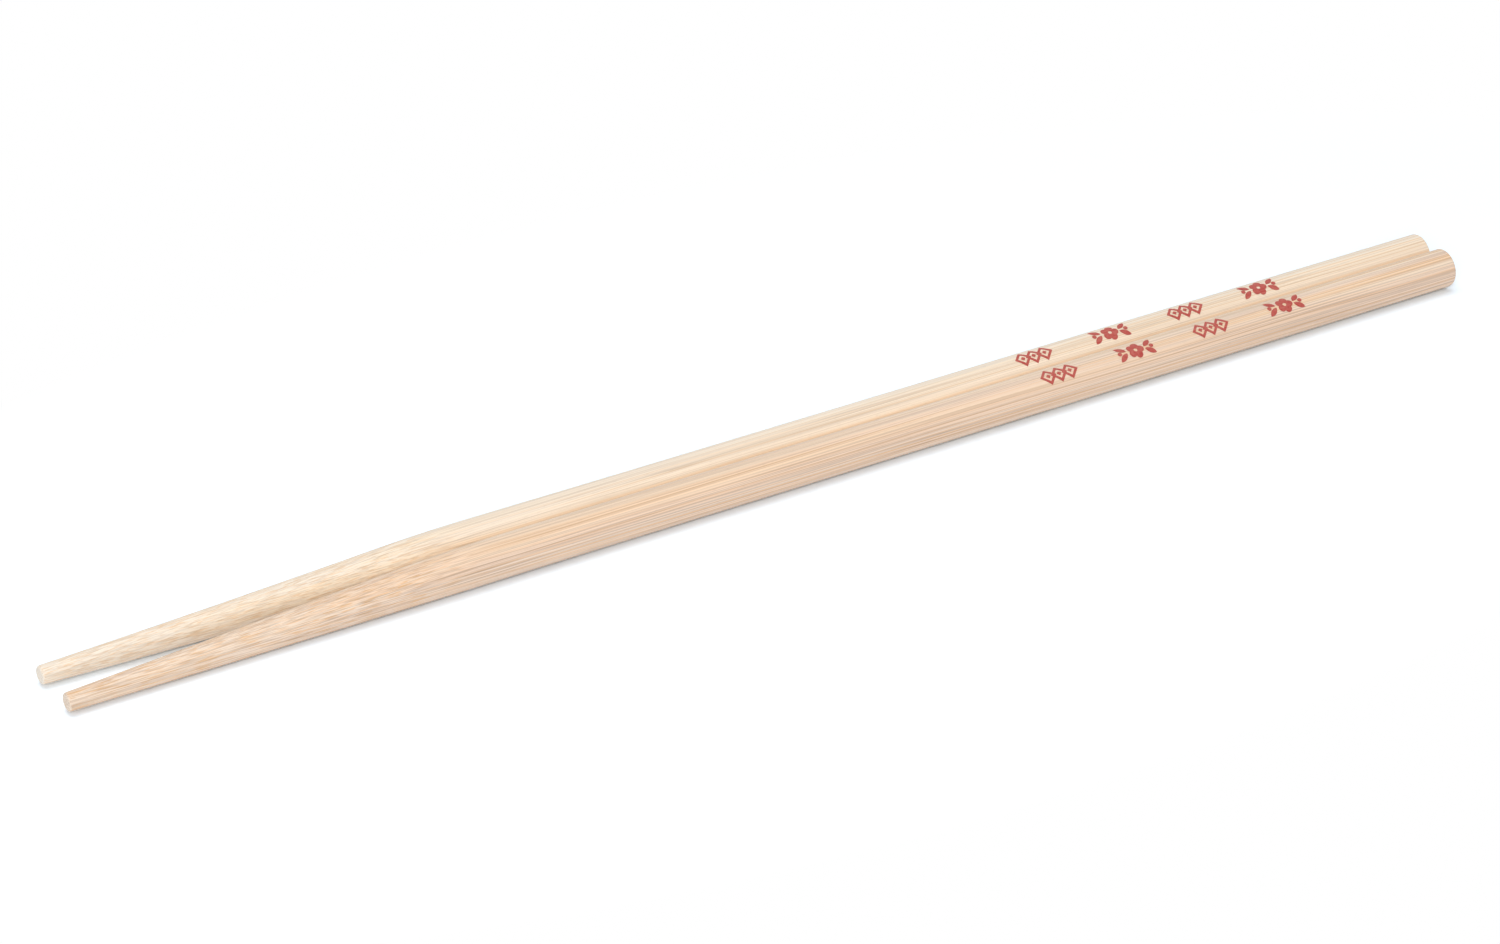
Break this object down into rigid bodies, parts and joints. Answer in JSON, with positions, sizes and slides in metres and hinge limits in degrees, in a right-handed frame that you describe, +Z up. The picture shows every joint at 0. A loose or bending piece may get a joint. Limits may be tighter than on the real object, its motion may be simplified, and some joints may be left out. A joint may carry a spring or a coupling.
{
  "type": "pair of chopsticks",
  "caption": "Pair of round bamboo chopsticks lying side by side, with straight shanks, long tapered noses, flat ends and small red printed marks near the butts.",
  "frame": {"origin": "on the surface that the pair lies on, under the middle of its box", "axes": "+X along the sticks towards their thick butt ends, +Z up from the surface, the near stick at -Y"},
  "size_m": [0.27, 0.0142, 0.007],
  "materials": {
    "near_bamboo": "sanded bare bamboo, satin",
    "far_bamboo": "sanded bare bamboo, satin",
    "red_ink": "thin printed ink, matte"
  },
  "bodies": {
    "root": {"near_stick": "near_bamboo", "far_stick": "far_bamboo", "near_print": "red_ink", "far_print": "red_ink"}
  },
  "joints": []
}
